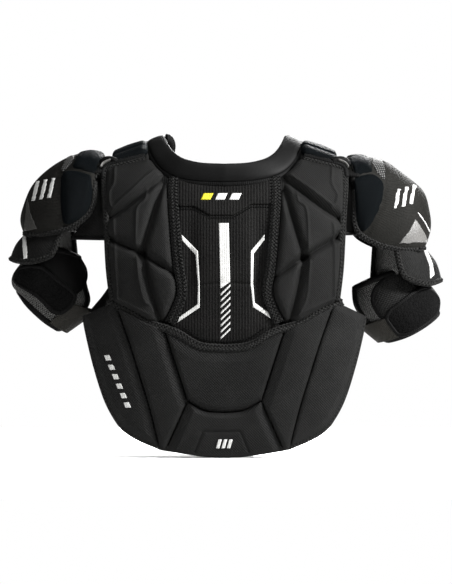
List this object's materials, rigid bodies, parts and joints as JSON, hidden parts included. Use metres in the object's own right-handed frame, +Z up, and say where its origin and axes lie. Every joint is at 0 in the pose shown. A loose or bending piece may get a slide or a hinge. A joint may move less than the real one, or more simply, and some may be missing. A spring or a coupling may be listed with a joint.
{
  "type": "hockey shoulder pads",
  "caption": "Padded shoulder, chest, back and upper arm guard with a wide neck collar, flexing lower back wrap and jointed shoulder caps and bicep guards.",
  "frame": {"origin": "midway between the two flat shoulder rests, on the middle plane of the body", "axes": "+Z up, +Y the way the wearer faces, +X towards the wearer's right arm"},
  "size_m": [0.652, 0.2523, 0.4805],
  "materials": {
    "black_fabric": "coarse woven nylon over moulded foam",
    "ribbed_fabric": "fine vertical ribs",
    "blue_black_fabric": "smooth stretch knit",
    "printed_fabric": "woven nylon with a faint printed pattern",
    "neoprene": "matte with a soft sheen",
    "grey_mesh": "open spacer mesh",
    "hard_plastic": "moulded polyethylene",
    "elastic": "knitted elastic webbing",
    "hook_and_loop": "hook and loop pile"
  },
  "bodies": {
    "back": {"upper_back_pad_left": "black_fabric", "upper_back_pad_right": "black_fabric", "spine_panel": "ribbed_fabric", "spine_plate": "hard_plastic", "back_liner": "grey_mesh", "collar_back": "neoprene", "shoulder_yoke_left": "black_fabric", "shoulder_yoke_right": "black_fabric"},
    "lower_back": {"lumbar_pad": "black_fabric", "tail_pad": "black_fabric", "kidney_pad_left": "black_fabric", "kidney_pad_right": "black_fabric", "wrap_wing_left": "black_fabric", "wrap_wing_right": "black_fabric", "lower_liner": "grey_mesh"},
    "chest": {"chest_pad_left": "black_fabric", "chest_pad_right": "black_fabric", "sternum_pad": "ribbed_fabric", "sternum_plate": "hard_plastic", "chest_liner": "grey_mesh", "collar_front": "neoprene"},
    "belly": {"belly_pad": "black_fabric"},
    "cap_left": {"cap_cover_left": "printed_fabric", "cap_cup_left": "hard_plastic", "cap_liner_left": "grey_mesh", "armpit_gusset_left": "black_fabric"},
    "flap_left": {"bicep_flap_left": "black_fabric"},
    "bicep_left": {"bicep_pad_left": "black_fabric", "bicep_plate_left": "hard_plastic", "bicep_liner_left": "grey_mesh", "bicep_strap_left": "elastic", "bicep_tongue_left": "grey_mesh"},
    "tab_left": {"wrap_tab_left": "hook_and_loop"},
    "epaulette_left": {"epaulette_left": "blue_black_fabric"},
    "side_strap_left": {"side_strap_left": "elastic", "side_tab_left": "hook_and_loop"},
    "cap_right": {"cap_cover_right": "printed_fabric", "cap_cup_right": "hard_plastic", "cap_liner_right": "grey_mesh", "armpit_gusset_right": "black_fabric"},
    "flap_right": {"bicep_flap_right": "black_fabric"},
    "bicep_right": {"bicep_pad_right": "black_fabric", "bicep_plate_right": "hard_plastic", "bicep_liner_right": "grey_mesh", "bicep_strap_right": "elastic", "bicep_tongue_right": "grey_mesh"},
    "tab_right": {"wrap_tab_right": "hook_and_loop"},
    "epaulette_right": {"epaulette_right": "blue_black_fabric"},
    "side_strap_right": {"side_strap_right": "elastic", "side_tab_right": "hook_and_loop"}
  },
  "joints": [
    {"name": "waist_flex", "type": "hinge", "parent": "back", "child": "lower_back", "pos_m": [0, -0.126, -0.2745], "axis": [1, 0, 0], "range_deg": [-20, 0]},
    {"name": "chest_open", "type": "hinge", "parent": "back", "child": "chest", "pos_m": [0, 0.046, 0.03], "axis": [1, 0, 0], "range_deg": [0, 35]},
    {"name": "belly_flex", "type": "hinge", "parent": "chest", "child": "belly", "pos_m": [0, 0.13, -0.241], "axis": [1, 0, 0], "range_deg": [0, 25]},
    {"name": "cap_raise_left", "type": "hinge", "parent": "back", "child": "cap_left", "pos_m": [-0.184, 0, 0.0185], "axis": [0, 1, 0], "range_deg": [0, 60]},
    {"name": "flap_lift_left", "type": "hinge", "parent": "cap_left", "child": "flap_left", "pos_m": [-0.2985, 0, -0.107], "axis": [0, 1, 0], "range_deg": [0, 18]},
    {"name": "bicep_swing_left", "type": "hinge", "parent": "cap_left", "child": "bicep_left", "pos_m": [-0.25, 0, -0.114], "axis": [1, 0, 0], "range_deg": [-9, 9]},
    {"name": "tab_peel_left", "type": "hinge", "parent": "bicep_left", "child": "tab_left", "pos_m": [-0.316, -0.02, -0.17], "axis": [0.1623, 0, 0.9867], "range_deg": [-50, 0]},
    {"name": "epaulette_lift_left", "type": "hinge", "parent": "back", "child": "epaulette_left", "pos_m": [-0.1195, 0, 0.03], "axis": [0, 1, 0], "range_deg": [0, 40]},
    {"name": "side_strap_swing_left", "type": "hinge", "parent": "lower_back", "child": "side_strap_left", "pos_m": [-0.186, -0.052, -0.296], "axis": [0, 0, 1], "range_deg": [0, 90]},
    {"name": "cap_raise_right", "type": "hinge", "parent": "back", "child": "cap_right", "pos_m": [0.186, 0, 0.0135], "axis": [0, -1, 0], "range_deg": [0, 60]},
    {"name": "flap_lift_right", "type": "hinge", "parent": "cap_right", "child": "flap_right", "pos_m": [0.3025, 0, -0.1305], "axis": [0, -1, 0], "range_deg": [0, 18]},
    {"name": "bicep_swing_right", "type": "hinge", "parent": "cap_right", "child": "bicep_right", "pos_m": [0.25, 0, -0.136], "axis": [1, 0, 0], "range_deg": [-9, 9]},
    {"name": "tab_peel_right", "type": "hinge", "parent": "bicep_right", "child": "tab_right", "pos_m": [0.3195, -0.0195, -0.2045], "axis": [-0.2778, 0, 0.9606], "range_deg": [0, 50]},
    {"name": "epaulette_lift_right", "type": "hinge", "parent": "back", "child": "epaulette_right", "pos_m": [0.1195, 0, 0.03], "axis": [0, -1, 0], "range_deg": [0, 40]},
    {"name": "side_strap_swing_right", "type": "hinge", "parent": "lower_back", "child": "side_strap_right", "pos_m": [0.186, -0.052, -0.296], "axis": [0, 0, -1], "range_deg": [0, 90]}
  ]
}
